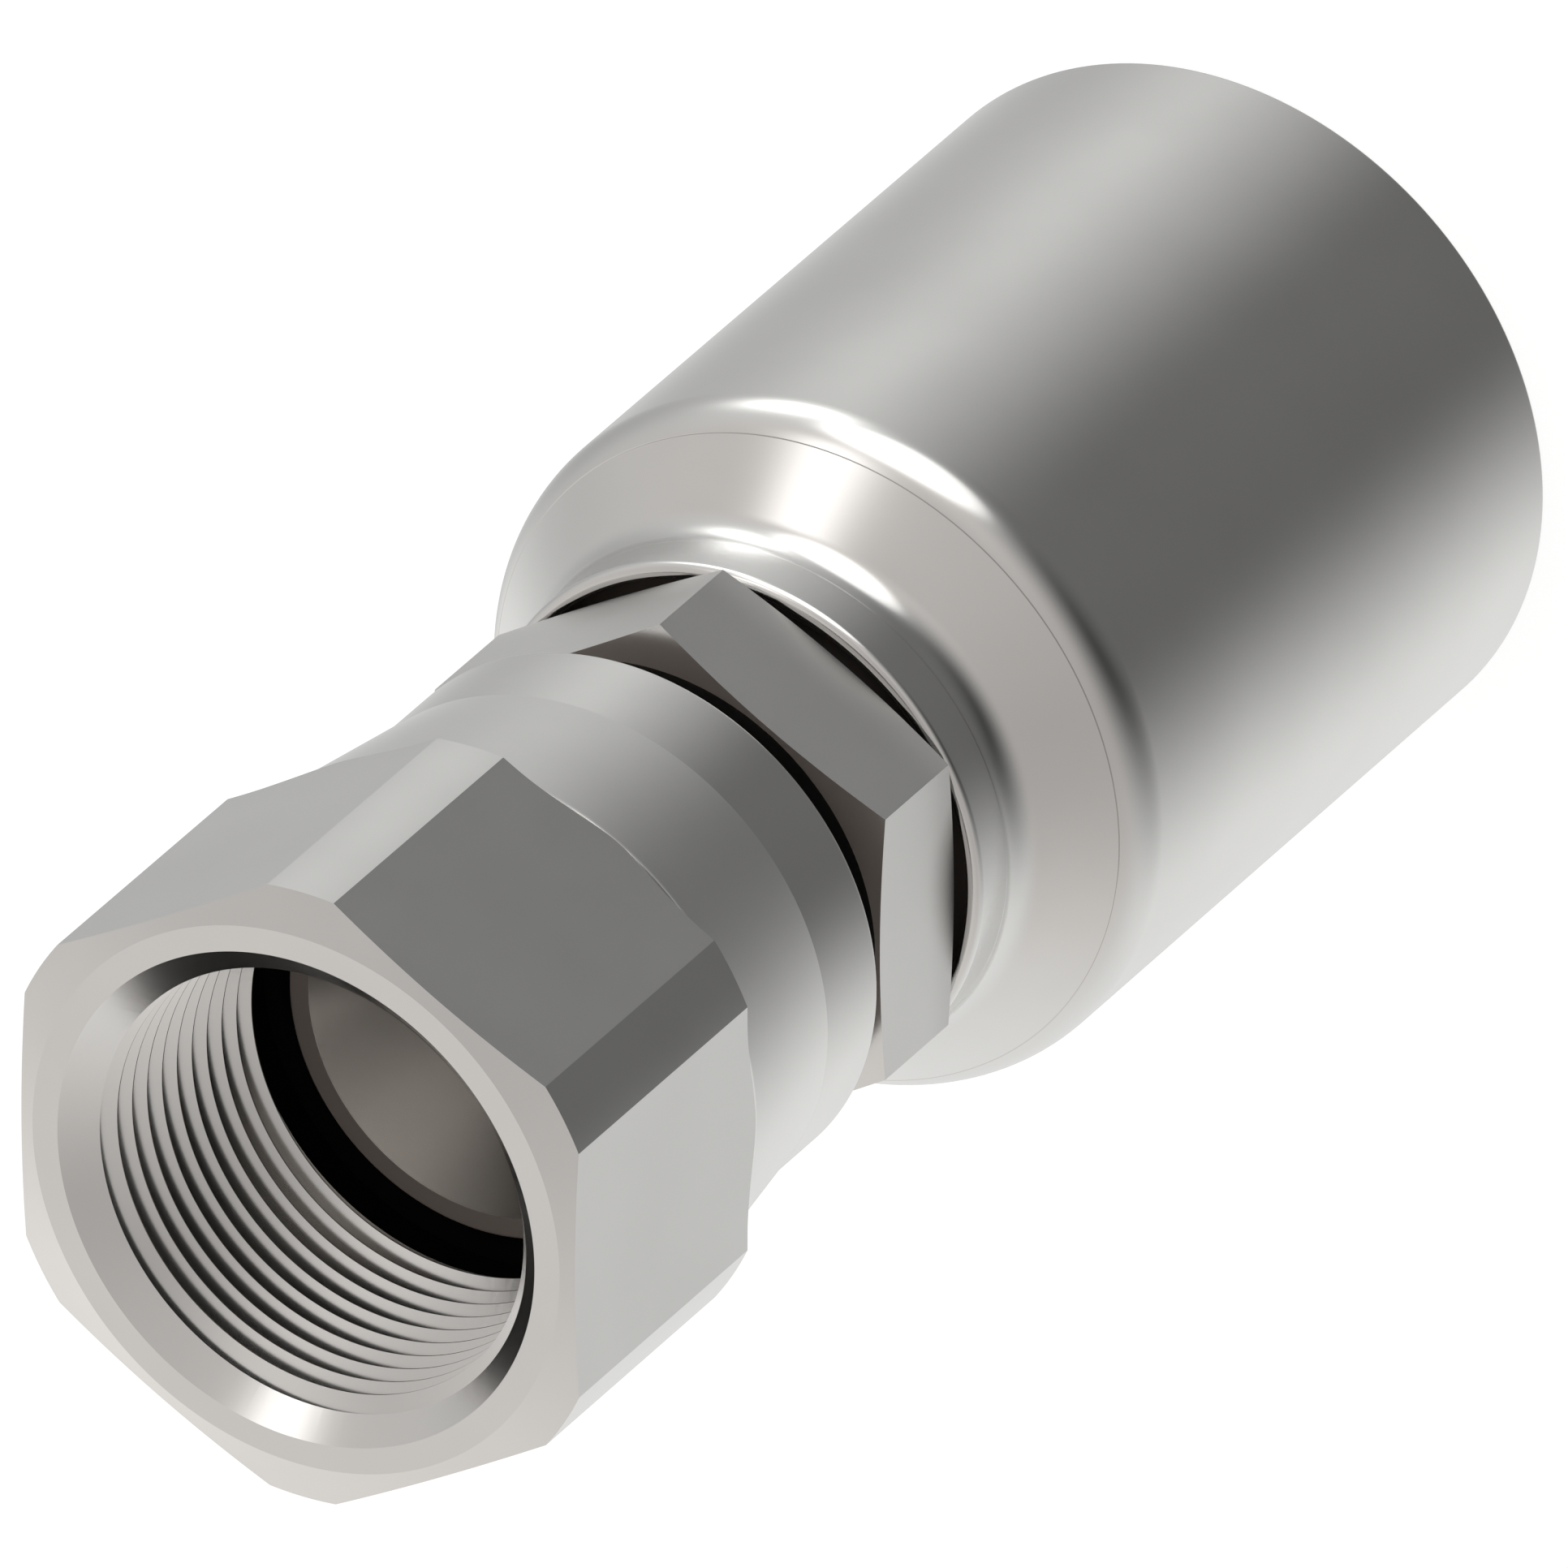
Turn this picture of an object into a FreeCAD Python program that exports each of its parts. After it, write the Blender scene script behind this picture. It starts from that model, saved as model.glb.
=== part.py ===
import FreeCAD, Part
import math
import os

# Straight crimp hose fitting: a swivel nut on a one-piece nipple, with a crimp shell swaged on it.
# Millimetres. The fitting's axis is Z, the nut's mouth is at the top, and the open hose end of the
# shell stands on Z = 0.

# Driving dimensions of the swivel nut
nut_across_flats = 46.0
nut_corner_diameter = 50.25
nut_face_diameter = 43.8
nut_length = 46.95
nut_hex_length = 25.0
nut_back_fillet = 1.7
nut_collar_diameter = 42.4
nut_collar_length = 7.3
nut_taper_angle = 7.5
hex_chamfer_angle = 15.0
mouth_diameter = 39.65
thread_minor_diameter = 34.4
thread_length = 23.2
relief_diameter = 37.8
relief_length = 7.0
nut_edge_chamfer = 0.4

# Driving dimensions of the nipple
nose_diameter = 32.2
nose_depth_in_nut = 26.5
nose_edge_chamfer = 0.3
seat_mouth_diameter = 28.9
seat_half_angle = 37.0
bore_diameter = 19.0
head_length = 13.6
neck_diameter = 28.6
stop_collar_diameter = 33.4
stop_collar_length = 4.05
nipple_across_flats = 37.6
nipple_hex_face_diameter = 36.9
nipple_hex_length = 10.9
boss_diameter = 33.0
groove_diameter = 26.8
lock_collar_diameter = 30.6
lock_collar_length = 3.2
lock_collar_chamfer = 1.0
tail_root_diameter = 25.2
barb_diameter = 26.8
barb_count = 5
barb_pitch = 9.2
barb_land = 1.2
tail_end_height = 2.5
tail_end_chamfer = 1.2

# Driving dimensions of the shell
shell_diameter = 55.2
shell_length = 70.85
shell_wall = 5.6
shoulder_angle = 45.0
shoulder_outer_radius = 4.7
shoulder_inner_radius = 3.7
shell_neck_diameter = 41.5
shoulder_foot_depth = 5.8
lip_bore_diameter = 39.4
lip_edge_chamfer = 0.6
lip_bore_chamfer = 0.2
recess_depth = 3.6
flange_thickness = 4.5
grip_ridge_height = 1.5
grip_ridge_count = 4
grip_ridge_pitch = 12.6
grip_ridge_land = 1.6
grip_first_height = 6.0
shell_end_chamfer = 0.3
hose_lead_in_depth = 1.5
hose_lead_in_flare = 0.75

# Clearances between the pieces
journal_clearance = 0.1
head_clearance = 0.25
end_play = 0.25
flange_clearance = 0.1
lock_collar_clearance = 1.4
lip_gap = 0.2

# How far a cutting outline runs past the face it opens, and when two points count as one
cut_overrun = 1.0
same_point = 1e-6

# Heights along the axis, from the hose end up
flange_top = shell_length - recess_depth
flange_bottom = flange_top - flange_thickness
hex_bottom = shell_length + lip_gap
hex_top = hex_bottom + nipple_hex_length
stop_top = hex_top + stop_collar_length
nut_bottom = stop_top + end_play
nut_top = nut_bottom + nut_length
nose_top = nut_top - nose_depth_in_nut
head_bottom = nose_top - head_length
lock_bottom = flange_bottom - lock_collar_length


def tan_deg(angle):
    return math.tan(math.radians(angle))


def vec(radius, height):
    return FreeCAD.Vector(radius, 0, height)


def revolve(points):
    """Turn a closed outline of (radius, height) points about the axis."""
    outline = Part.makePolygon([vec(r, z) for r, z in points + points[:1]])
    return revolve_wire(outline)


def revolve_wire(outline):
    face = Part.Face(outline)
    solid = face.revolve(FreeCAD.Vector(0, 0, 0), FreeCAD.Vector(0, 0, 1), 360)
    return Part.makeSolid(solid) if solid.ShapeType == "Shell" else solid


def rounded_outline(corners):
    """Closed wire through (radius, height, rounding) corners, with an arc at each rounded one."""
    starts, ends, arcs = [], [], []
    count = len(corners)
    for i, (r, z, rounding) in enumerate(corners):
        here = vec(r, z)
        if rounding <= 0:
            starts.append(here)
            ends.append(here)
            arcs.append(None)
            continue
        before = vec(*corners[i - 1][:2])
        after = vec(*corners[(i + 1) % count][:2])
        back = (before - here).normalize()
        ahead = (after - here).normalize()
        half = back.getAngle(ahead) / 2
        tangent = rounding / math.tan(half)
        start = here + back * tangent
        end = here + ahead * tangent
        middle_line = (back + ahead).normalize()
        centre = here + middle_line * (rounding / math.sin(half))
        starts.append(start)
        ends.append(end)
        arcs.append(Part.Arc(start, centre - middle_line * rounding, end).toShape())
    edges = []
    for i in range(count):
        if arcs[i]:
            edges.append(arcs[i])
        following = starts[(i + 1) % count]
        if ends[i].distanceToPoint(following) > same_point:
            edges.append(Part.LineSegment(ends[i], following).toShape())
    return Part.Wire(edges)


def hex_prism(across_flats, bottom, top):
    """Six-sided bar with a corner on +Y and flats facing +X and -X."""
    corner_radius = across_flats / math.sqrt(3)
    corners = []
    for side in range(6):
        angle = math.radians(30 + 60 * side)
        across = corner_radius * math.cos(angle)
        up = corner_radius * math.sin(angle)
        corners.append(FreeCAD.Vector(across, up, bottom))
    base = Part.Face(Part.makePolygon(corners + corners[:1]))
    return base.extrude(FreeCAD.Vector(0, 0, top - bottom))


def make_swivel_nut():
    """Hex nut: turned outline cut to six flats, with a threaded mouth, and a taper to its collar."""
    corner_r = nut_corner_diameter / 2
    face_r = nut_face_diameter / 2
    collar_r = nut_collar_diameter / 2
    chamfer_drop = (corner_r - face_r) * tan_deg(hex_chamfer_angle)
    taper_foot = nut_bottom + nut_collar_length
    hex_foot = nut_top - nut_hex_length
    taper_top_r = collar_r + (hex_foot - taper_foot) * tan_deg(nut_taper_angle)
    turned = revolve_wire(rounded_outline([
        (0, nut_bottom, 0),
        (collar_r - nut_edge_chamfer, nut_bottom, 0),
        (collar_r, nut_bottom + nut_edge_chamfer, 0),
        (collar_r, taper_foot, 0),
        (taper_top_r, hex_foot, nut_back_fillet),
        (corner_r, hex_foot, 0),
        (corner_r, nut_top - chamfer_drop, 0),
        (face_r, nut_top, 0),
        (0, nut_top, 0),
    ]))
    body = turned.common(hex_prism(nut_across_flats, nut_bottom, nut_top))

    mouth_r = mouth_diameter / 2
    minor_r = thread_minor_diameter / 2
    relief_r = relief_diameter / 2
    guide_r = nose_diameter / 2 + head_clearance
    tail_r = neck_diameter / 2 + journal_clearance
    thread_end = nut_top - thread_length
    relief_end = thread_end - relief_length
    shoulder_foot = head_bottom - (guide_r - tail_r) - end_play
    cavity = revolve([
        (0, nut_bottom - cut_overrun),
        (tail_r + nut_edge_chamfer + cut_overrun, nut_bottom - cut_overrun),
        (tail_r, nut_bottom + nut_edge_chamfer),
        (tail_r, shoulder_foot),
        (guide_r, shoulder_foot + guide_r - tail_r),
        (guide_r, relief_end),
        (relief_r, relief_end + relief_r - guide_r),
        (relief_r, thread_end - (relief_r - minor_r)),
        (minor_r, thread_end),
        (minor_r, nut_top - (mouth_r - minor_r)),
        (mouth_r + cut_overrun, nut_top + cut_overrun),
        (0, nut_top + cut_overrun),
    ])
    return body.cut(cavity)


def barb_points(root_r, crest_r):
    """Outline of the barbs, from the hose end up: a long ramp, a short land and a step back."""
    points = []
    for index in range(barb_count):
        foot = tail_end_height + tail_end_chamfer + index * barb_pitch
        crest = foot + barb_pitch - barb_land - (crest_r - root_r)
        points.append((root_r, foot))
        points.append((crest_r, crest))
        points.append((crest_r, crest + barb_land))
    return points


def make_nipple():
    """One turned stem: nose with a female cone, head, neck, hex, swage groove and barbed tail."""
    bore_r = bore_diameter / 2
    seat_r = seat_mouth_diameter / 2
    nose_r = nose_diameter / 2
    neck_r = neck_diameter / 2
    stop_r = stop_collar_diameter / 2
    boss_r = boss_diameter / 2
    groove_r = groove_diameter / 2
    lock_r = lock_collar_diameter / 2
    root_r = tail_root_diameter / 2
    barb_r = barb_diameter / 2
    seat_depth = (seat_r - bore_r) / tan_deg(seat_half_angle)
    hex_middle = (hex_bottom + hex_top) / 2
    outline = [
        (bore_r, tail_end_height),
        (root_r - tail_end_chamfer, tail_end_height),
    ]
    outline += barb_points(root_r, barb_r)
    outline += [
        (root_r, tail_end_height + tail_end_chamfer + barb_count * barb_pitch),
        (root_r, lock_bottom),
        (lock_r - lock_collar_chamfer, lock_bottom),
        (lock_r, lock_bottom + lock_collar_chamfer),
        (lock_r, flange_bottom),
        (groove_r, flange_bottom),
        (groove_r, flange_top),
        (boss_r, flange_top),
        (boss_r, hex_middle),
        (stop_r, hex_middle),
        (stop_r, stop_top),
        (neck_r, stop_top),
        (neck_r, head_bottom - (nose_r - neck_r)),
        (nose_r, head_bottom),
        (nose_r, nose_top - nose_edge_chamfer),
        (nose_r - nose_edge_chamfer, nose_top),
        (seat_r, nose_top),
        (bore_r, nose_top - seat_depth),
    ]
    stem = revolve(outline)

    corner_r = nipple_across_flats / math.sqrt(3)
    face_r = nipple_hex_face_diameter / 2
    chamfer_drop = (corner_r - face_r) * tan_deg(hex_chamfer_angle)
    turned = revolve([
        (bore_r, hex_bottom),
        (face_r, hex_bottom),
        (corner_r, hex_bottom + chamfer_drop),
        (corner_r, hex_top - chamfer_drop),
        (face_r, hex_top),
        (bore_r, hex_top),
    ])
    wrench_hex = turned.common(hex_prism(nipple_across_flats, hex_bottom, hex_top))
    return stem.fuse(wrench_hex).removeSplitter()


def grip_points(groove_r):
    """Outline of the shell's gripping ridges, from the top of the hose cavity down."""
    points = []
    crest_r = groove_r - grip_ridge_height
    for index in reversed(range(grip_ridge_count)):
        foot = grip_first_height + index * grip_ridge_pitch
        top = foot + grip_ridge_land + 2 * grip_ridge_height
        points.append((groove_r, top))
        points.append((crest_r, top - grip_ridge_height))
        points.append((crest_r, foot + grip_ridge_height))
        points.append((groove_r, foot))
    return points


def make_shell():
    """Crimp shell: thick tube with gripping ridges, a swept shoulder and a flange in the groove."""
    outer_r = shell_diameter / 2
    neck_r = shell_neck_diameter / 2
    lip_r = lip_bore_diameter / 2
    groove_r = outer_r - shell_wall
    bore_r = groove_diameter / 2 + flange_clearance
    lock_room_r = lock_collar_diameter / 2 + lock_collar_clearance
    slope = tan_deg(shoulder_angle)
    shoulder_foot = shell_length - shoulder_foot_depth
    shoulder_top = shoulder_foot - (outer_r - neck_r) / slope
    cavity_top = flange_bottom - (groove_r - lock_room_r) / slope
    corners = [
        (outer_r - shell_end_chamfer, 0, 0),
        (outer_r, shell_end_chamfer, 0),
        (outer_r, shoulder_top, shoulder_outer_radius),
        (neck_r, shoulder_foot, shoulder_inner_radius),
        (neck_r, shell_length - lip_edge_chamfer, 0),
        (neck_r - lip_edge_chamfer, shell_length, 0),
        (lip_r + lip_bore_chamfer, shell_length, 0),
        (lip_r, shell_length - lip_bore_chamfer, 0),
        (lip_r, flange_top, 0),
        (bore_r, flange_top, 0),
        (bore_r, flange_bottom, 0),
        (lock_room_r, flange_bottom, 0),
        (groove_r, cavity_top, 0),
    ]
    corners += [(r, z, 0) for r, z in grip_points(groove_r)]
    corners += [
        (groove_r, hose_lead_in_depth, 0),
        (groove_r + hose_lead_in_flare, 0, 0),
    ]
    return revolve_wire(rounded_outline(corners))


parts = {
    "swivel_nut": make_swivel_nut(),
    "nipple": make_nipple(),
    "shell": make_shell(),
}

os.makedirs("parts", exist_ok=True)
for name, shape in parts.items():
    shape.exportStep(os.path.join("parts", name + ".step"))
    print(name, "solids", len(shape.Solids), "valid", shape.isValid(), "mm3", round(shape.Volume, 1))
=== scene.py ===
import math

import bmesh
import bpy
from mathutils import Matrix, Vector


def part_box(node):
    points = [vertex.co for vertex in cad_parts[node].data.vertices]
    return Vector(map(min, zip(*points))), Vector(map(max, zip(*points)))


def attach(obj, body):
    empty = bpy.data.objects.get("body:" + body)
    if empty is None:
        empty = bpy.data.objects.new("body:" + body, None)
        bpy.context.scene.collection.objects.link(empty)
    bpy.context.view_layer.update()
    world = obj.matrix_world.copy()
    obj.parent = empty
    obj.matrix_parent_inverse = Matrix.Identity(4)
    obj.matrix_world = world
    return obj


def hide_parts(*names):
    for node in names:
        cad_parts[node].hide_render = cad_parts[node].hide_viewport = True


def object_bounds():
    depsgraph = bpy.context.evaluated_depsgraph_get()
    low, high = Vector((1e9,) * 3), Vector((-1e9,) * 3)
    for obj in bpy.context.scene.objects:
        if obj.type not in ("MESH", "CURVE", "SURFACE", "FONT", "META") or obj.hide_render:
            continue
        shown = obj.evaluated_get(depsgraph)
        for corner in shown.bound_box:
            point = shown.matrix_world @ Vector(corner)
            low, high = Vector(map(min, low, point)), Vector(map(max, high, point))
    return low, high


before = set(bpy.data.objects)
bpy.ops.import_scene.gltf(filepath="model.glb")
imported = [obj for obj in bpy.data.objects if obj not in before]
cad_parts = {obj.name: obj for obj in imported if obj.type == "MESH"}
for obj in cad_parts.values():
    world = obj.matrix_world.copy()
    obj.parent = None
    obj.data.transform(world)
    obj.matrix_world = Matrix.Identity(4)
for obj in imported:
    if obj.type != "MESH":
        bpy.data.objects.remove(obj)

# Straight crimp hose fitting, standing on its open hose end. Metres, in the CAD's own frame:
# the axis is Z, a corner of both hexes points along +Y and a flat of both faces +X.

cad_low, cad_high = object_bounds()
nut_low, nut_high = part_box("swivel_nut")
nipple_low, nipple_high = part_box("nipple")
shell_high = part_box("shell")[1]
mm = 0.001

# Swivel nut
nut_bottom = nut_low.z
nut_top = nut_high.z
nut_across_flats = 2 * nut_high.x
nut_corner_radius = 25.125 * mm
nut_face_radius = 21.9 * mm
nut_collar_radius = 21.2 * mm
nut_collar_length = 7.3 * mm
nut_taper_angle = math.radians(7.5)
nut_hex_length = 25.0 * mm
nut_back_fillet = 1.7 * mm
hex_chamfer_angle = math.radians(15)
nut_edge_round = 0.35 * mm
mouth_radius = 19.825 * mm
countersink_half_angle = math.radians(45)
thread_end = nut_top - 23.2 * mm
relief_radius = 18.9 * mm
relief_end = thread_end - 7.0 * mm
guide_radius = 16.35 * mm
shoulder_foot = 90.9 * mm
tail_bore_radius = 14.4 * mm
tail_bore_chamfer = 0.4 * mm

# Internal thread, right hand, 12 turns to the inch
thread_pitch = 25.4 * mm / 12
thread_crest_radius = 17.2 * mm
thread_crest_width = 0.10 * mm
thread_root_width = 0.27 * mm
thread_half_angle = math.radians(30)
thread_crest_depth = 12.0 * mm
thread_crest_azimuth = math.radians(-90)
thread_run_out_turns = 0.83
thread_mouth_depth = 0.80 * mm

# Nipple
tail_end = nipple_low.z
nose_top = nipple_high.z
bore_radius = 9.5 * mm
seat_mouth_radius = 14.45 * mm
seat_half_angle = math.radians(37)
seat_bottom = nose_top - (seat_mouth_radius - bore_radius) / math.tan(seat_half_angle)
nose_radius = 16.1 * mm
head_length = 13.6 * mm
nose_edge_round = 0.25 * mm
bore_edge_round = 0.15 * mm
stop_edge_round = 0.2 * mm
neck_radius = 14.3 * mm
stop_radius = 16.7 * mm
stop_top = 86.0 * mm
nipple_across_flats = 2 * nipple_high.x
nipple_hex_face_radius = 18.45 * mm
hex_bottom = 71.05 * mm
hex_top = 81.95 * mm
boss_radius = 16.5 * mm
swage_groove_radius = 13.4 * mm
flange_top = 67.25 * mm
flange_bottom = 62.75 * mm
lock_collar_radius = 15.3 * mm
lock_collar_length = 3.2 * mm
lock_collar_chamfer = 1.0 * mm
tail_root_radius = 12.6 * mm
tail_end_chamfer = 1.2 * mm
barb_crest_radius = 13.4 * mm
barb_count = 5
barb_pitch = 9.2 * mm
barb_land = 1.2 * mm

# Shell
shell_radius = shell_high.x
shell_top = shell_high.z
shell_wall = 5.6 * mm
shell_neck_radius = 20.75 * mm
shoulder_foot_depth = 5.8 * mm
shoulder_outer_round = 4.7 * mm
shoulder_inner_round = 3.7 * mm
lip_bore_radius = 19.45 * mm
lip_outer_round = 0.7 * mm
lip_inner_round = 0.55 * mm
die_line_width = 0.10 * mm
cone_line_depth = 0.05 * mm
neck_line_depth = 0.008 * mm
flange_bore_radius = 13.5 * mm
lock_room_radius = 16.7 * mm
shell_end_round = 0.3 * mm
hose_lead_in_depth = 1.5 * mm
hose_lead_in_flare = 0.75 * mm
ridge_height = 1.5 * mm
ridge_count = 4
ridge_pitch = 12.6 * mm
ridge_land = 1.6 * mm
ridge_first_height = 6.0 * mm

# Fineness of the meshes
turned_segments = 192
thread_steps_per_turn = 128
arc_step = math.radians(4.5)
holding_gap = 0.12 * mm
spindle_radius = 1.0 * mm
same_point = 0.001 * mm
hair = 0.05 * mm
upright_slope = 0.01
smooth_below = math.radians(6.5)
boolean_solver = "MANIFOLD"

# Zinc plate, and painted shade: matt dark colours on faces in the recesses and gaps, and a darker,
# warmer tone on the seat
plate_tone = (0.62, 0.615, 0.605)
# The seat's tone is the plate made darker and warmer, painted shade of the deep cone
seat_tone_with_painted_shade = (0.60, 0.565, 0.53)
turned_dullness = 0.18
seat_dullness = 0.22
drawn_dullness = 0.25
rubbed_front_dullness = 0.30
rubbed_rear_dullness = 0.42
rubbed_length = 4.5 * mm
dullness_spread = 0.05
tool_mark_scale = 9000.0
tool_mark_stretch = 0.02
tool_mark_height = 0.002 * mm
tool_mark_strength = 0.05
plating_grain_scale = 5000.0
plating_grain_share = 0.4
plating_cloud_scale = 60.0
plating_cloud_span = (0.3, 0.7)
plating_mottle = 0.03
# Painted shade, near-black: the nut's relief and bores behind the thread, the nipple's stop collar, neck
# and nose outside
shade_black_tone = (0.004, 0.004, 0.004)
# Painted shade, dark brown: the nipple's boss and swage groove, the shell's lip bore and flange
shade_brown_tone = (0.12, 0.104, 0.093)
# Painted shade, grey-brown: the nipple's flat nose rim and the nut's bottom face
shade_grey_brown_tone = (0.30, 0.26, 0.235)
painted_shade_dullness = 0.8
painted_shade_sheen = 0.05

# Studio, with azimuths and elevations in degrees. A negative strength is a dark card.
# Soft lights: name, azimuth, elevation, tightness, strength
# Round panels: name, azimuth, elevation, half angle, soft edge, strength
room_level = 1.2
soft_lights = [
    ("strip light at the left", -140, -7, 13.8, 0.81),
    ("low card at the left", -173, -32, 2.3, -0.66),
    ("high card at the right", -10, 30, 2.3, -0.54),
    ("high card behind", 121, 64, 3.4, -0.81),
    ("lamp through the high card", 122, 63, 11, 0.62),
    ("lamp under the softbox", 126, -25.5, 56, 3.3),
    ("lamp over the softbox", 113, 32, 60, 1.5),
]
round_panels = [
    ("softbox", 90.5, -3, 20.5, 7, 1.3),
    ("low card at the right", 33, -35, 21, 57, -0.89),
]
low_tint = (1.0, 1.0, 0.99)
high_tint = (1.023, 0.99, 0.963)
tint_span = (-0.1, 0.3)
floor_matt = 0.25
floor_glow = 0.86
floor_reach = 3.0
floor_gap = 0.01 * mm

# Camera
camera_yaw = math.radians(30)
camera_tip = math.radians(30)
camera_sensor = 36.0
camera_lens = 1650.0
camera_field = 113.6 * mm
camera_aim = Vector((0.40 * mm, -0.10 * mm, 63.82 * mm))


class NodeMaker:
    """Adds nodes to a tree and wires them by socket name or number."""

    def __init__(self, tree):
        self.tree = tree

    def feed(self, socket, value):
        if isinstance(value, bpy.types.NodeSocket):
            self.tree.links.new(value, socket)
        else:
            socket.default_value = value

    def node(self, kind, inputs=None, **settings):
        node = self.tree.nodes.new(kind)
        for key, value in settings.items():
            setattr(node, key, value)
        for key, value in (inputs or {}).items():
            self.feed(node.inputs[key], value)
        return node

    def math(self, operation, *values):
        node = self.tree.nodes.new("ShaderNodeMath")
        node.operation = operation
        for socket, value in zip(node.inputs, values):
            self.feed(socket, value)
        return node.outputs[0]

    def vector(self, x, y, z):
        return self.node("ShaderNodeCombineXYZ", {"X": x, "Y": y, "Z": z}).outputs[0]

    def parts(self, vector):
        return self.node("ShaderNodeSeparateXYZ", {0: vector}).outputs

    def attribute(self, name, data_type):
        node = self.node("GeometryNodeInputNamedAttribute", {"Name": name}, data_type=data_type)
        return [socket for socket in node.outputs if socket.enabled][0]


def geometry_tree(name, sizes):
    """New geometry tree with a named input for each size; returns its maker and inputs."""
    tree = bpy.data.node_groups.new(name, "GeometryNodeTree")
    tree.is_modifier = True
    face = tree.interface
    face.new_socket("Geometry", in_out="INPUT", socket_type="NodeSocketGeometry")
    for label, kind in sizes:
        face.new_socket(label, in_out="INPUT", socket_type="NodeSocket" + kind)
    face.new_socket("Geometry", in_out="OUTPUT", socket_type="NodeSocketGeometry")
    maker = NodeMaker(tree)
    return maker, maker.node("NodeGroupInput").outputs


def close_tree(maker, geometry, material):
    """Ends a tree in real geometry with its material."""
    real = maker.node("GeometryNodeRealizeInstances", {"Geometry": geometry})
    dressed = maker.node("GeometryNodeSetMaterial",
                         {"Geometry": real.outputs[0], "Material": material})
    maker.node("NodeGroupOutput", {"Geometry": dressed.outputs[0]})
    return maker.tree


def tooth_row(maker, size):
    """Points of a row of equal teeth in a section, each with a rise, a land and a fall."""
    index = maker.node("GeometryNodeInputIndex").outputs[0]
    corner = maker.math("MODULO", index, 4.0)
    tooth = maker.math("FLOOR", maker.math("DIVIDE", index, 4.0))
    on_crest = maker.math("COMPARE", corner, 1.5, 0.6)
    depth = maker.math("SUBTRACT", size["Crest Radius"], size["Root Radius"])
    radius = maker.math("MULTIPLY_ADD", on_crest, depth, size["Root Radius"])
    height = maker.math("MULTIPLY_ADD", tooth, size["Tooth Pitch"], size["First Tooth"])
    for passed, run in ((0.5, "Rise"), (1.5, "Land"), (2.5, "Fall")):
        beyond = maker.math("GREATER_THAN", corner, passed)
        height = maker.math("MULTIPLY_ADD", beyond, size[run], height)
    count = maker.math("MULTIPLY", size["Tooth Count"], 4.0)
    line = maker.node("GeometryNodeMeshLine", {"Count": count})
    placed = maker.node("GeometryNodeSetPosition",
                        {"Geometry": line.outputs[0], "Position": maker.vector(radius, 0.0, height)})
    return placed.outputs[0]


def turned_section_tree():
    """Turns a closed section about Z. The section is the object's wire in the XZ plane, with a
    row of teeth joined in where it is open, and each corner rounded by its own radius."""
    maker, size = geometry_tree("turned_section", [
        ("Segments", "Int"), ("Tooth Count", "Int"), ("Tooth Pitch", "Float"),
        ("First Tooth", "Float"), ("Root Radius", "Float"), ("Crest Radius", "Float"),
        ("Rise", "Float"), ("Land", "Float"), ("Fall", "Float"), ("Spindle Radius", "Float"),
        ("Same Point", "Float"), ("Material", "Material"),
    ])
    section = maker.node("GeometryNodeJoinGeometry")
    maker.feed(section.inputs[0], size["Geometry"])
    maker.feed(section.inputs[0], tooth_row(maker, size))
    welded = maker.node("GeometryNodeMergeByDistance",
                        {"Geometry": section.outputs[0], "Distance": size["Same Point"]})
    place = maker.parts(maker.node("GeometryNodeInputPosition").outputs[0])
    across = maker.math("SUBTRACT", place[0], size["Spindle Radius"])
    down = maker.math("MULTIPLY", place[2], -1.0)
    laid = maker.node("GeometryNodeSetPosition", {
        "Geometry": welded.outputs[0],
        "Position": maker.vector(across, down, 0.0),
    })
    wire = maker.node("GeometryNodeMeshToCurve", {"Mesh": laid.outputs[0]})
    rounded = maker.node("GeometryNodeFilletCurve", {
        "Curve": wire.outputs[0],
        "Count": maker.math("MAXIMUM", maker.attribute("arc_points", "INT"), 1.0),
        "Radius": maker.attribute("rounding", "FLOAT"),
        "Limit Radius": True,
    }, mode="POLY")
    spindle = maker.node("GeometryNodeCurvePrimitiveCircle",
                         {"Resolution": size["Segments"], "Radius": size["Spindle Radius"]})
    swept = maker.node("GeometryNodeCurveToMesh",
                       {"Curve": spindle.outputs[0], "Profile Curve": rounded.outputs[0]})
    return close_tree(maker, swept.outputs[0], size["Material"])


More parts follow.
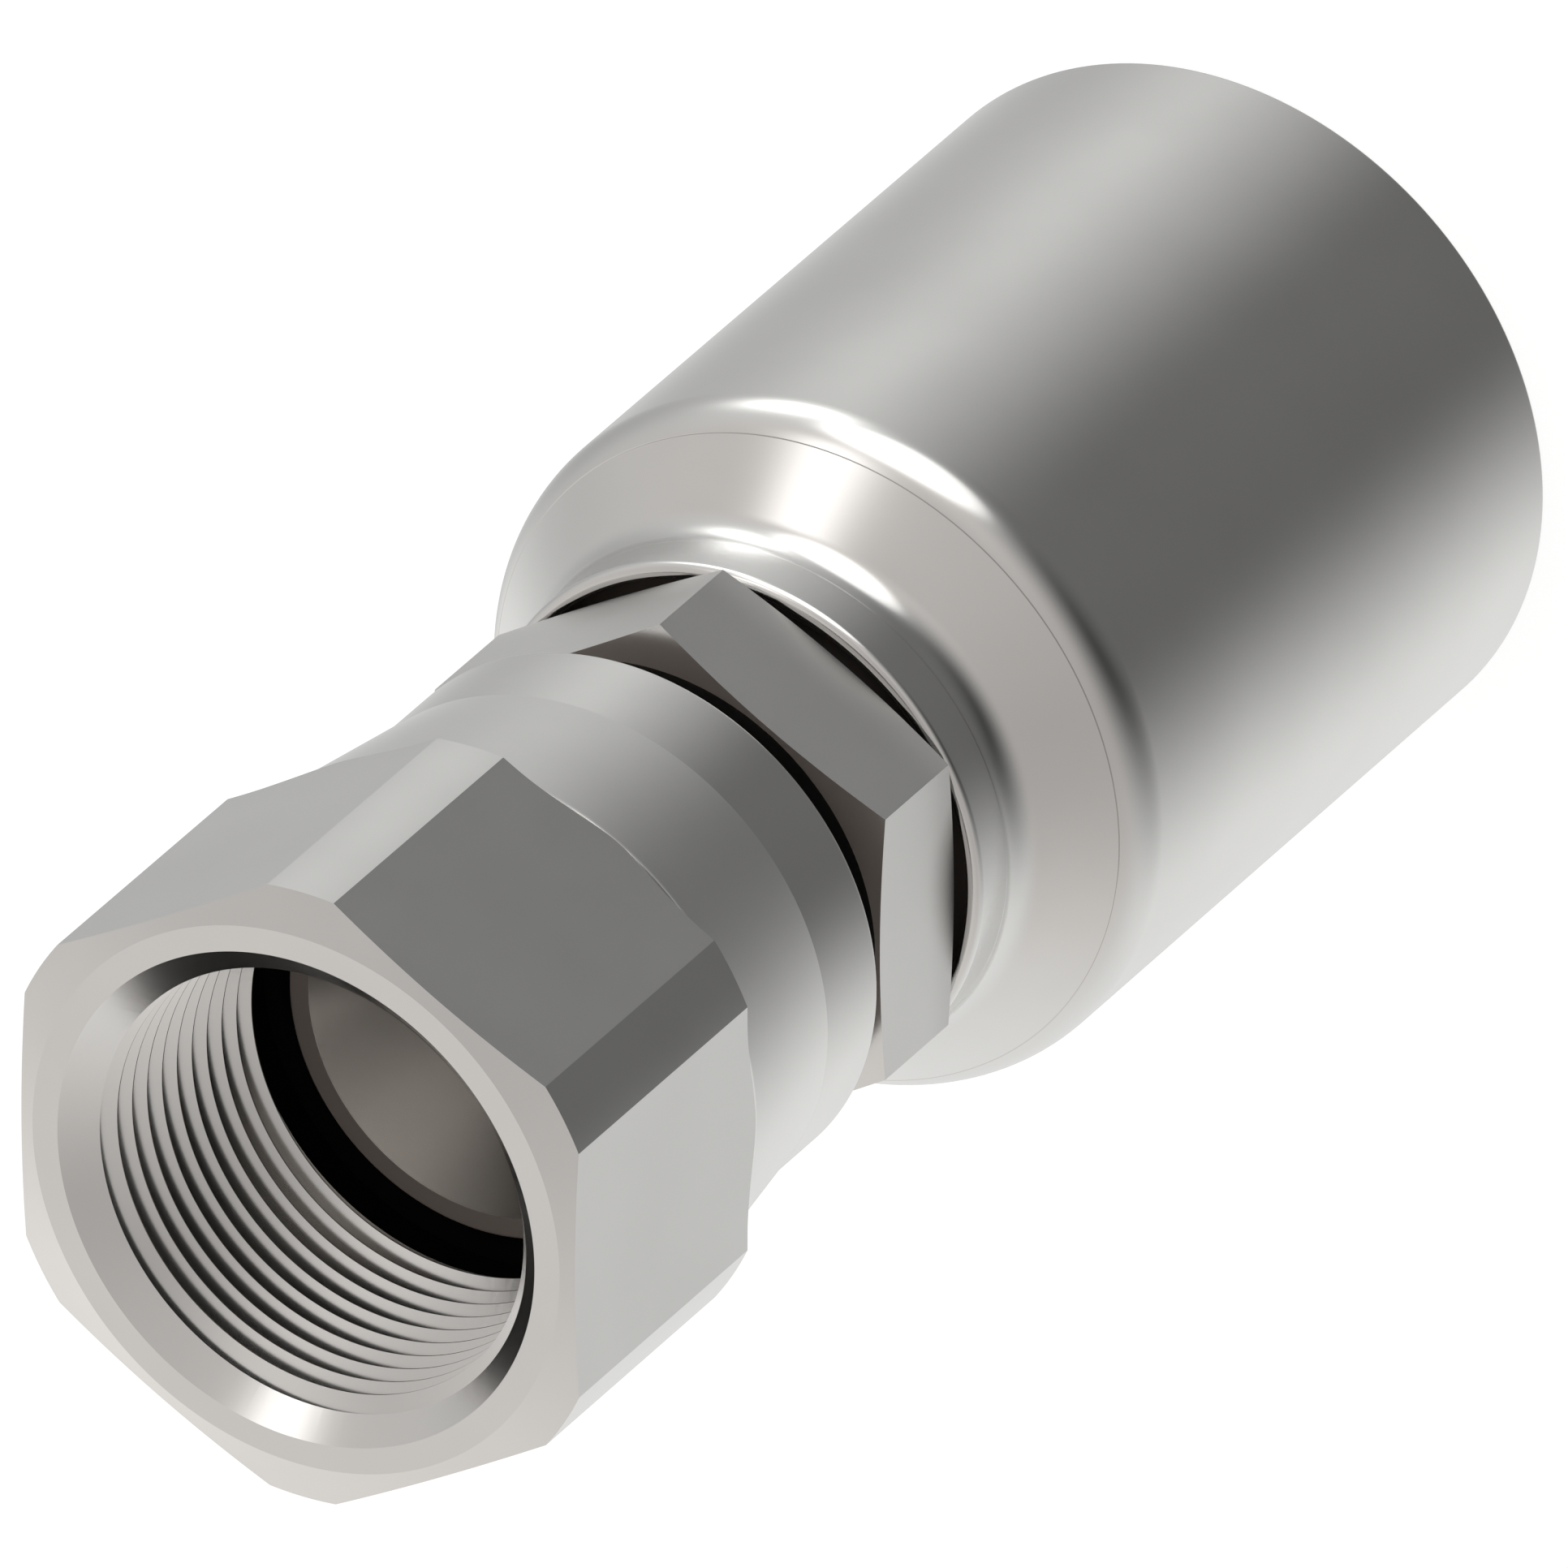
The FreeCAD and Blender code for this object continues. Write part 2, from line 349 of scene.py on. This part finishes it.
def thread_groove_tree():
    """Solid of the groove that a thread tool cuts: a helix with a flat-topped V section, drawn
    to a point at both ends, and growing shallow over its last turns."""
    maker, size = geometry_tree("thread_groove", [
        ("Turns", "Float"), ("Steps", "Int"), ("Pitch", "Float"), ("Start Height", "Float"),
        ("Start Azimuth", "Float"), ("Inner Radius", "Float"), ("Root Radius", "Float"),
        ("Inner Width", "Float"), ("Root Width", "Float"), ("Run Out", "Float"),
        ("Same Point", "Float"), ("Material", "Material"),
    ])
    sheet = maker.node("GeometryNodeMeshGrid",
                       {"Size X": 1.0, "Size Y": 1.0, "Vertices X": size["Steps"], "Vertices Y": 5})
    place = maker.parts(maker.node("GeometryNodeInputPosition").outputs[0])
    along = maker.math("ADD", place[0], 0.5)
    corner = maker.math("ROUND", maker.math("MULTIPLY_ADD", place[1], 4.0, 2.0))
    corner = maker.math("MODULO", corner, 4.0)
    inside = maker.math("COMPARE", along, 0.5, 0.49999)
    turns_left = maker.math("MULTIPLY", maker.math("SUBTRACT", 1.0, along), size["Turns"])
    fullness = maker.math("MINIMUM", maker.math("DIVIDE", turns_left, size["Run Out"]), inside)
    at_root = maker.math("MULTIPLY", maker.math("COMPARE", corner, 1.5, 0.6), fullness)
    side = maker.math("MULTIPLY_ADD", maker.math("GREATER_THAN", corner, 1.5), 2.0, -1.0)
    depth = maker.math("SUBTRACT", size["Root Radius"], size["Inner Radius"])
    radius = maker.math("MULTIPLY_ADD", at_root, depth, size["Inner Radius"])
    narrowing = maker.math("SUBTRACT", size["Root Width"], size["Inner Width"])
    width = maker.math("MULTIPLY_ADD", at_root, narrowing, size["Inner Width"])
    half_width = maker.math("MULTIPLY", maker.math("MULTIPLY", width, 0.5), inside)
    turned = maker.math("MULTIPLY", along, size["Turns"])
    azimuth = maker.math("MULTIPLY_ADD", turned, math.tau, size["Start Azimuth"])
    height = maker.math("MULTIPLY_ADD", turned, size["Pitch"], size["Start Height"])
    height = maker.math("MULTIPLY_ADD", side, half_width, height)
    wound = maker.node("GeometryNodeSetPosition", {
        "Geometry": sheet.outputs[0],
        "Position": maker.vector(
            maker.math("MULTIPLY", radius, maker.math("COSINE", azimuth)),
            maker.math("MULTIPLY", radius, maker.math("SINE", azimuth)),
            height,
        ),
    })
    welded = maker.node("GeometryNodeMergeByDistance",
                        {"Geometry": wound.outputs[0], "Distance": size["Same Point"]})
    return close_tree(maker, welded.outputs[0], size["Material"])


def new_object(name, mesh):
    thing = bpy.data.objects.new(name, mesh)
    bpy.context.scene.collection.objects.link(thing)
    return thing


def evaluated_mesh(thing):
    """Plain mesh of an object with its modifiers, which are then removed."""
    graph = bpy.context.evaluated_depsgraph_get()
    graph.update()
    mesh = bpy.data.meshes.new_from_object(thing.evaluated_get(graph))
    thing.modifiers.clear()
    return mesh


def face_outwards(mesh):
    """Turns a closed mesh right side out, by the sign of its volume."""
    work = bmesh.new()
    work.from_mesh(mesh)
    if work.calc_volume(signed=True) < 0:
        bmesh.ops.reverse_faces(work, faces=work.faces)
    work.to_mesh(mesh)
    work.free()


def grown(name, tree, values, seed=None):
    """Object made by a geometry tree from named input values, with the modifier applied."""
    thing = new_object(name, seed or bpy.data.meshes.new(name))
    modifier = thing.modifiers.new(tree.name, "NODES")
    modifier.node_group = tree
    for item in tree.interface.items_tree:
        if item.in_out == "INPUT" and item.name in values:
            modifier[item.identifier] = values[item.name]
    thing.data = evaluated_mesh(thing)
    face_outwards(thing.data)
    return thing


def section_wire(name, corners, is_open):
    """Wire of (radius, height, rounding) corners, with a holding point beside each rounding."""
    count = len(corners)
    spots = [Vector((radius, 0, height)) for radius, height, rounding in corners]
    turns, reach = [], []
    for i, (radius, height, rounding) in enumerate(corners):
        arriving = spots[i] - spots[i - 1]
        leaving = spots[(i + 1) % count] - spots[i]
        turn = arriving.angle(leaving)
        turns.append(turn)
        reach.append(rounding * math.tan(turn / 2) + holding_gap if rounding else 0.0)
    points, roundings, arc_points = [], [], []

    def add(spot, rounding=0.0, arc=1):
        points.append(spot)
        roundings.append(rounding)
        arc_points.append(arc)

    for i, (radius, height, rounding) in enumerate(corners):
        add(spots[i], rounding, max(1, round(turns[i] / arc_step)))
        if is_open and i == count - 1:
            break
        run = spots[(i + 1) % count] - spots[i]
        reach_here = reach[i]
        reach_there = reach[(i + 1) % count]
        if reach_here + reach_there < run.length:
            if reach_here:
                add(spots[i] + run.normalized() * reach_here)
            if reach_there:
                add(spots[i] + run.normalized() * (run.length - reach_there))
    edges = [(i, i + 1) for i in range(len(points) - 1)]
    if not is_open:
        edges.append((len(points) - 1, 0))
    mesh = bpy.data.meshes.new(name)
    mesh.from_pydata(points, edges, [])
    mesh.attributes.new("rounding", "FLOAT", "POINT").data.foreach_set("value", roundings)
    mesh.attributes.new("arc_points", "INT", "POINT").data.foreach_set("value", arc_points)
    return mesh


def turned(name, corners, material, teeth=None):
    """Piece turned about Z from section corners; teeth are the sizes of a row of teeth."""
    values = {
        "Segments": turned_segments,
        "Tooth Count": 0,
        "Spindle Radius": spindle_radius,
        "Same Point": same_point,
        "Material": material,
    }
    values.update(teeth or {})
    return grown(name, turned_section, values, section_wire(name, corners, bool(teeth)))


def hex_bar(name, across_flats, bottom, top, material):
    """Six-sided bar with a corner on +Y."""
    corner_radius = across_flats / math.sqrt(3)
    points = []
    for height in (bottom, top):
        for side in range(6):
            angle = math.radians(30 + 60 * side)
            points.append((corner_radius * math.cos(angle), corner_radius * math.sin(angle), height))
    faces = [(5, 4, 3, 2, 1, 0), (6, 7, 8, 9, 10, 11)]
    for side in range(6):
        following = (side + 1) % 6
        faces.append((side, following, following + 6, side + 6))
    mesh = bpy.data.meshes.new(name)
    mesh.from_pydata(points, [], faces)
    mesh.materials.append(material)
    return new_object(name, mesh)


def combine(thing, tool, operation):
    """Boolean of two solids; the tool is used up."""
    modifier = thing.modifiers.new(operation.lower(), "BOOLEAN")
    modifier.object = tool
    modifier.operation = operation
    modifier.solver = boolean_solver
    thing.data = evaluated_mesh(thing)
    bpy.data.objects.remove(tool)
    return thing


def crease(mesh):
    """Smooth faces with crisp edges wherever two faces meet at more than a slight angle."""
    work = bmesh.new()
    work.from_mesh(mesh)
    for face in work.faces:
        face.smooth = True
    for edge in work.edges:
        edge.smooth = len(edge.link_faces) == 2 and edge.calc_face_angle() < smooth_below
    work.to_mesh(mesh)
    work.free()


def dress(mesh, zones, flat_finish=None, across_flats=0):
    """Gives the faces their finishes: the flats' own on a flat, the zone's own in a zone, or else
    turned. A zone is its finish or its painted shade, an inner and an outer radius, and a lower and an
    upper end."""
    mesh.materials.clear()
    for material in [turned_plate] + [zone[0] for zone in zones]:
        mesh.materials.append(material)
    if flat_finish:
        mesh.materials.append(flat_finish)
    for face in mesh.polygons:
        radius, height = face.center.xy.length, face.center.z
        upright = abs(face.normal.z) < upright_slope
        off_axis = face.center.dot(face.normal)
        face.material_index = 0
        for number, (_, inner, outer, low, high) in enumerate(zones, 1):
            if inner < radius < outer and low < height < high:
                face.material_index = number
        if flat_finish and upright and abs(off_axis - across_flats / 2) < hair:
            face.material_index = len(zones) + 1


def finish_piece(thing, node, body):
    crease(thing.data)
    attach(thing, body)
    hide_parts(node)
    return thing


def plated_steel(name, tone, dullness, line_direction, rear_dullness=None):
    """Satin zinc plate. Line direction says whether the tool marks run round the axis or along it.
    Rear dullness is that of the wrench hex's flats where they meet the shell."""
    material = bpy.data.materials.new(name)
    material.use_nodes = True
    maker = NodeMaker(material.node_tree)
    shader = material.node_tree.nodes["Principled BSDF"]
    shader.inputs["Metallic"].default_value = 1.0
    place = maker.node("ShaderNodeTexCoord").outputs["Object"]
    x, y, z = maker.parts(place)
    squares = maker.math("ADD", maker.math("MULTIPLY", x, x), maker.math("MULTIPLY", y, y))
    radius = maker.math("SQRT", squares)
    if line_direction == "round":
        marks = maker.vector(radius, 0.0, z)
    else:
        marks = maker.vector(x, y, maker.math("MULTIPLY", z, tool_mark_stretch))
    lines = maker.node("ShaderNodeTexNoise",
                       {"Vector": marks, "Scale": tool_mark_scale, "Detail": 2.0, "Roughness": 0.6})
    grain = maker.node("ShaderNodeTexNoise",
                       {"Vector": place, "Scale": plating_grain_scale, "Detail": 2.0})
    clouds = maker.node("ShaderNodeTexNoise",
                        {"Vector": place, "Scale": plating_cloud_scale, "Detail": 3.0})
    mottle = maker.node("ShaderNodeMapRange", {
        "Value": clouds.outputs["Fac"],
        "From Min": plating_cloud_span[0], "From Max": plating_cloud_span[1],
        "To Min": 1 - plating_mottle, "To Max": 1 + plating_mottle,
    })
    colour = maker.node("ShaderNodeVectorMath",
                        {0: tone, "Scale": mottle.outputs[0]}, operation="SCALE")
    maker.feed(shader.inputs["Base Color"], colour.outputs[0])
    unevenness = maker.math("ADD", clouds.outputs["Fac"], lines.outputs["Fac"])
    if rear_dullness:
        dullness = maker.node("ShaderNodeMapRange", {
            "Value": z, "From Min": hex_bottom, "From Max": hex_bottom + rubbed_length,
            "To Min": rear_dullness, "To Max": dullness,
        }, interpolation_type="SMOOTHSTEP").outputs[0]
    least_dull = maker.math("SUBTRACT", dullness, dullness_spread)
    roughness = maker.math("MULTIPLY_ADD", unevenness, dullness_spread, least_dull)
    maker.feed(shader.inputs["Roughness"], roughness)
    roughened = maker.math("MULTIPLY_ADD", grain.outputs["Fac"], plating_grain_share,
                           lines.outputs["Fac"])
    bump = maker.node("ShaderNodeBump", {
        "Height": roughened, "Strength": tool_mark_strength, "Distance": tool_mark_height,
    })
    maker.feed(shader.inputs["Normal"], bump.outputs[0])
    return material


def painted_shade_material(name, tone, dullness):
    """Matt dark colour that paints shade onto faces in the recesses and gaps."""
    material = bpy.data.materials.new(name)
    material.use_nodes = True
    shader = material.node_tree.nodes["Principled BSDF"]
    shader.inputs["Base Color"].default_value = (*tone, 1)
    shader.inputs["Roughness"].default_value = dullness
    shader.inputs["Specular IOR Level"].default_value = painted_shade_sheen
    return material


def direction(azimuth, elevation):
    """Unit vector from degrees round from +X and degrees above the horizon."""
    round_z, up = math.radians(azimuth), math.radians(elevation)
    return Vector((math.cos(up) * math.cos(round_z), math.cos(up) * math.sin(round_z), math.sin(up)))


def light_studio():
    """Soft light from all round, as a white studio with a softbox and some dark cards. The camera
    sees plain white."""
    world = bpy.data.worlds.new("white_studio")
    bpy.context.scene.world = world
    world.use_nodes = True
    tree = world.node_tree
    tree.nodes.clear()
    maker = NodeMaker(tree)
    towards = maker.node("ShaderNodeTexCoord").outputs["Generated"]

    def facing(azimuth, elevation):
        return maker.node("ShaderNodeVectorMath",
                          {0: towards, 1: direction(azimuth, elevation)},
                          operation="DOT_PRODUCT").outputs["Value"]

    level = room_level
    for _, azimuth, elevation, tightness, strength in soft_lights:
        fall_off = maker.math("MULTIPLY_ADD", facing(azimuth, elevation), tightness, -tightness)
        level = maker.math("MULTIPLY_ADD", maker.math("EXPONENT", fall_off), strength, level)
    for _, azimuth, elevation, half_angle, edge, strength in round_panels:
        panel = maker.node("ShaderNodeMapRange", {
            "Value": maker.math("ARCCOSINE", facing(azimuth, elevation)),
            "From Min": math.radians(half_angle + edge),
            "From Max": math.radians(half_angle),
            "To Min": 0.0, "To Max": strength,
        }, interpolation_type="SMOOTHSTEP")
        level = maker.math("ADD", level, panel.outputs[0])
    level = maker.math("MAXIMUM", level, 0.0)
    up = maker.parts(towards)[2]
    warmth = maker.node("ShaderNodeMapRange",
                        {"Value": up, "From Min": tint_span[0], "From Max": tint_span[1]})
    tint = maker.node("ShaderNodeMix", {"Factor": warmth.outputs[0]}, data_type="RGBA")
    tint.inputs[6].default_value = (*low_tint, 1)
    tint.inputs[7].default_value = (*high_tint, 1)
    studio = maker.node("ShaderNodeBackground", {"Color": tint.outputs[2], "Strength": level})
    plain = maker.node("ShaderNodeBackground", {"Color": (1, 1, 1, 1), "Strength": 1.0})
    seen = maker.node("ShaderNodeLightPath").outputs["Is Camera Ray"]
    chosen = maker.node("ShaderNodeMixShader",
                        {0: seen, 1: studio.outputs[0], 2: plain.outputs[0]})
    maker.node("ShaderNodeOutputWorld", {"Surface": chosen.outputs[0]})


def lay_floor():
    """Pale floor. The camera sees it white with the fitting's faint shadow, and the metal sees
    the studio's light through it."""
    material = bpy.data.materials.new("pale_floor")
    material.use_nodes = True
    tree = material.node_tree
    tree.nodes.clear()
    maker = NodeMaker(tree)
    matt = maker.node("ShaderNodeBsdfDiffuse", {"Color": (floor_matt, floor_matt, floor_matt, 1)})
    glow = maker.node("ShaderNodeEmission", {"Color": (1, 1, 1, 1), "Strength": floor_glow})
    pale = maker.node("ShaderNodeAddShader", {0: matt.outputs[0], 1: glow.outputs[0]})
    clear = maker.node("ShaderNodeBsdfTransparent")
    seen = maker.node("ShaderNodeLightPath").outputs["Is Camera Ray"]
    chosen = maker.node("ShaderNodeMixShader", {0: seen, 1: clear.outputs[0], 2: pale.outputs[0]})
    maker.node("ShaderNodeOutputMaterial", {"Surface": chosen.outputs[0]})
    corners = [(-floor_reach, -floor_reach), (floor_reach, -floor_reach),
               (floor_reach, floor_reach), (-floor_reach, floor_reach)]
    mesh = bpy.data.meshes.new("floor")
    mesh.from_pydata([(x, y, cad_low.z - floor_gap) for x, y in corners], [], [(0, 1, 2, 3)])
    mesh.materials.append(material)
    new_object("floor", mesh)


def place_camera():
    """Long lens from above the nut, turned so that the fitting's axis runs down to the left."""
    yaw, tip = camera_yaw, camera_tip
    right = Vector((math.cos(yaw), 0, -math.sin(yaw)))
    back = Vector((math.sin(yaw) * math.cos(tip), math.sin(tip), math.cos(yaw) * math.cos(tip)))
    up = back.cross(right)
    lens = bpy.data.cameras.new("long_lens")
    lens.sensor_width = camera_sensor
    lens.lens = camera_lens
    distance = camera_field * camera_lens / camera_sensor
    lens.clip_start = distance / 10
    lens.clip_end = distance * 10
    camera = bpy.data.objects.new("camera", lens)
    bpy.context.scene.collection.objects.link(camera)
    turn = Matrix((right, up, back)).transposed()
    camera.matrix_world = Matrix.Translation(camera_aim + back * distance) @ turn.to_4x4()
    bpy.context.scene.camera = camera


def nut_corners():
    chamfer_drop = (nut_corner_radius - nut_face_radius) * math.tan(hex_chamfer_angle)
    taper_foot = nut_bottom + nut_collar_length
    hex_foot = nut_top - nut_hex_length
    taper_top_radius = nut_collar_radius + (hex_foot - taper_foot) * math.tan(nut_taper_angle)
    countersink = (mouth_radius - thread_crest_radius) / math.tan(countersink_half_angle)
    step_in = relief_radius - thread_crest_radius
    step_out = relief_radius - guide_radius
    return [
        (tail_bore_radius + tail_bore_chamfer, nut_bottom, 0),
        (nut_collar_radius, nut_bottom, nut_edge_round),
        (nut_collar_radius, taper_foot, 0),
        (taper_top_radius, hex_foot, nut_back_fillet),
        (nut_corner_radius, hex_foot, 0),
        (nut_corner_radius, nut_top - chamfer_drop, 0),
        (nut_face_radius, nut_top, 0),
        (mouth_radius, nut_top, 0),
        (thread_crest_radius, nut_top - countersink, 0),
        (thread_crest_radius, thread_end, 0),
        (relief_radius, thread_end - step_in, 0),
        (relief_radius, relief_end + step_out, 0),
        (guide_radius, relief_end, 0),
        (guide_radius, shoulder_foot + guide_radius - tail_bore_radius, 0),
        (tail_bore_radius, shoulder_foot, 0),
        (tail_bore_radius, nut_bottom + tail_bore_chamfer, 0),
    ]


def make_thread_groove():
    flank_slope = math.tan(thread_half_angle)
    crest_opening = thread_pitch - thread_crest_width
    depth = (crest_opening - thread_root_width) / 2 / flank_slope
    inner_radius = thread_crest_radius - thread_crest_width / 4 / flank_slope
    inner_width = crest_opening + 2 * flank_slope * (thread_crest_radius - inner_radius)
    start_height = (relief_end + thread_end) / 2
    crest_height = nut_top - thread_crest_depth
    turns = (nut_top - thread_mouth_depth - start_height) / thread_pitch
    turns_below_crest = (crest_height - start_height) / thread_pitch + 0.5
    return grown("thread_groove", thread_groove, {
        "Turns": turns,
        "Steps": round(turns * thread_steps_per_turn) + 1,
        "Pitch": thread_pitch,
        "Start Height": start_height,
        "Start Azimuth": thread_crest_azimuth - turns_below_crest * math.tau,
        "Inner Radius": inner_radius,
        "Root Radius": thread_crest_radius + depth,
        "Inner Width": inner_width,
        "Root Width": thread_root_width,
        "Run Out": thread_run_out_turns,
        "Same Point": same_point,
        "Material": turned_plate,
    })


def make_swivel_nut():
    nut = turned("swivel_nut_plated", nut_corners(), turned_plate)
    bar = hex_bar("nut_bar", nut_across_flats, nut_bottom - mm, nut_top + mm, turned_plate)
    combine(nut, bar, "INTERSECT")
    combine(nut, make_thread_groove(), "DIFFERENCE")
    relief_top = thread_end - (relief_radius - thread_crest_radius)
    # Painted shade: near-black inside behind the thread, grey-brown on the nut's bottom face
    dress(nut.data, [
        (painted_black_shade, 0, relief_radius + hair, nut_bottom + hair, relief_top),
        (painted_grey_brown_shade, 0, nut_collar_radius - nut_edge_round, nut_bottom - hair, nut_bottom + hair),
    ], drawn_plate, nut_across_flats)
    return finish_piece(nut, "swivel_nut", "nut")


def nipple_corners():
    """Section from the last barb up, over the nose, and down the bore to the first barb."""
    hex_middle = (hex_bottom + hex_top) / 2
    first_barb = tail_end + tail_end_chamfer
    head_bottom = nose_top - head_length
    lock_bottom = flange_bottom - lock_collar_length
    return [
        (tail_root_radius, first_barb + barb_count * barb_pitch, 0),
        (tail_root_radius, lock_bottom, 0),
        (lock_collar_radius - lock_collar_chamfer, lock_bottom, 0),
        (lock_collar_radius, lock_bottom + lock_collar_chamfer, 0),
        (lock_collar_radius, flange_bottom, 0),
        (swage_groove_radius, flange_bottom, 0),
        (swage_groove_radius, flange_top, 0),
        (boss_radius, flange_top, 0),
        (boss_radius, hex_middle, 0),
        (stop_radius, hex_middle, 0),
        (stop_radius, stop_top, stop_edge_round),
        (neck_radius, stop_top, 0),
        (neck_radius, head_bottom - (nose_radius - neck_radius), 0),
        (nose_radius, head_bottom, 0),
        (nose_radius, nose_top, nose_edge_round),
        (seat_mouth_radius, nose_top, 0),
        (bore_radius, seat_bottom, bore_edge_round),
        (bore_radius, tail_end, 0),
        (tail_root_radius - tail_end_chamfer, tail_end, 0),
        (tail_root_radius, first_barb, 0),
    ]


def make_nipple():
    barb_height = barb_crest_radius - tail_root_radius
    nipple = turned("nipple_plated", nipple_corners(), turned_plate, {
        "Tooth Count": barb_count,
        "Tooth Pitch": barb_pitch,
        "First Tooth": tail_end + tail_end_chamfer,
        "Root Radius": tail_root_radius,
        "Crest Radius": barb_crest_radius,
        "Rise": barb_pitch - barb_land - barb_height,
        "Land": barb_land,
        "Fall": barb_height,
    })
    corner_radius = nipple_across_flats / math.sqrt(3)
    chamfer_drop = (corner_radius - nipple_hex_face_radius) * math.tan(hex_chamfer_angle)
    inside_radius = (bore_radius + boss_radius) / 2
    wrench_hex = turned("wrench_hex", [
        (inside_radius, hex_bottom, 0),
        (nipple_hex_face_radius, hex_bottom, 0),
        (corner_radius, hex_bottom + chamfer_drop, 0),
        (corner_radius, hex_top - chamfer_drop, 0),
        (nipple_hex_face_radius, hex_top, 0),
        (inside_radius, hex_top, 0),
    ], turned_plate)
    bar = hex_bar("wrench_bar", nipple_across_flats, hex_bottom - mm, hex_top + mm, turned_plate)
    combine(wrench_hex, bar, "INTERSECT")
    combine(nipple, wrench_hex, "UNION")
    # Painted shade: near-black on the stop collar, neck and nose outside, dark brown on the boss and
    # swage groove, grey-brown on the nose rim, and a darker, warmer seat
    dress(nipple.data, [
        (painted_black_shade, neck_radius - hair, stop_radius + hair, hex_top, nose_top - nose_edge_round),
        (painted_brown_shade, swage_groove_radius - hair, boss_radius + hair, flange_bottom, hex_bottom),
        (painted_grey_brown_shade, seat_mouth_radius, nose_radius + hair, nose_top - nose_edge_round, nose_top + hair),
        (seat_plate_with_painted_shade, bore_radius, seat_mouth_radius, seat_bottom, nose_top),
    ], rubbed_plate, nipple_across_flats)
    return finish_piece(nipple, "nipple", "hose_end")


def die_line(start, end, distance, depth):
    """Three corners of a fine notch in the run between two points of a section that goes up."""
    run = (Vector(end) - Vector(start)).normalized()
    inward = Vector((-run.y, run.x))
    middle = Vector(start) + run * distance
    half = run * die_line_width / 2
    return [(*(middle - half), 0), (*(middle + inward * depth), 0), (*(middle + half), 0)]


def shell_corners():
    """Section from the lowest gripping ridge down, up the outside, and down to the top ridge."""
    groove_radius = shell_radius - shell_wall
    shoulder_foot = shell_top - shoulder_foot_depth
    shoulder_top = shoulder_foot - (shell_radius - shell_neck_radius)
    cavity_top = flange_bottom - (groove_radius - lock_room_radius)
    last_ridge = ridge_first_height + (ridge_count - 1) * ridge_pitch
    last_ridge_top = last_ridge + ridge_land + 2 * ridge_height
    quarter_bend = math.tan(math.radians(45) / 2)
    cone_end = shoulder_outer_round * quarter_bend + 2 * holding_gap
    neck_end = shoulder_inner_round * quarter_bend + 2 * holding_gap
    shoulder = (shell_radius, shoulder_top)
    foot = (shell_neck_radius, shoulder_foot)
    return [
        (groove_radius, ridge_first_height, 0),
        (groove_radius, hose_lead_in_depth, 0),
        (groove_radius + hose_lead_in_flare, 0, 0),
        (shell_radius, 0, shell_end_round),
        (*shoulder, shoulder_outer_round),
        *die_line(shoulder, foot, cone_end, cone_line_depth),
        (*foot, shoulder_inner_round),
        *die_line(foot, (shell_neck_radius, shell_top), neck_end, neck_line_depth),
        (shell_neck_radius, shell_top, lip_outer_round),
        (lip_bore_radius, shell_top, lip_inner_round),
        (lip_bore_radius, flange_top, 0),
        (flange_bore_radius, flange_top, 0),
        (flange_bore_radius, flange_bottom, 0),
        (lock_room_radius, flange_bottom, 0),
        (groove_radius, cavity_top, 0),
        (groove_radius, last_ridge_top, 0),
    ]


def make_shell():
    groove_radius = shell_radius - shell_wall
    shell = turned("shell_plated", shell_corners(), turned_plate, {
        "Tooth Count": ridge_count,
        "Tooth Pitch": ridge_pitch,
        "First Tooth": ridge_first_height,
        "Root Radius": groove_radius,
        "Crest Radius": groove_radius - ridge_height,
        "Rise": ridge_height,
        "Land": ridge_land,
        "Fall": ridge_height,
    })
    # Painted shade: dark brown on the shell's lip bore and flange
    dress(shell.data, [
        (painted_brown_shade, flange_bore_radius - hair, lip_bore_radius + hair,
         flange_bottom, shell_top - lip_inner_round),
    ])
    return finish_piece(shell, "shell", "hose_end")


bpy.context.scene.view_settings.view_transform = "Standard"
turned_section = turned_section_tree()
thread_groove = thread_groove_tree()
turned_plate = plated_steel("turned_zinc_plate", plate_tone, turned_dullness, "round")
# Seat plate: zinc plate with painted shade in its darker, warmer tone
seat_plate_with_painted_shade = plated_steel("seat_zinc_plate_with_painted_shade", seat_tone_with_painted_shade, seat_dullness, "round")
drawn_plate = plated_steel("drawn_bar_zinc_plate", plate_tone, drawn_dullness, "along")
rubbed_plate = plated_steel("rubbed_bar_zinc_plate", plate_tone, rubbed_front_dullness, "along",
                            rubbed_rear_dullness)
# Painted shade: matt dark colours in place of the plate in the recesses and gaps
painted_black_shade = painted_shade_material("black_painted_shade_in_recesses", shade_black_tone, painted_shade_dullness)
painted_brown_shade = painted_shade_material("brown_painted_shade_in_gaps", shade_brown_tone, painted_shade_dullness)
painted_grey_brown_shade = painted_shade_material("grey_brown_painted_shade_on_faces", shade_grey_brown_tone, painted_shade_dullness)
make_swivel_nut()
make_nipple()
make_shell()
light_studio()
lay_floor()
place_camera()
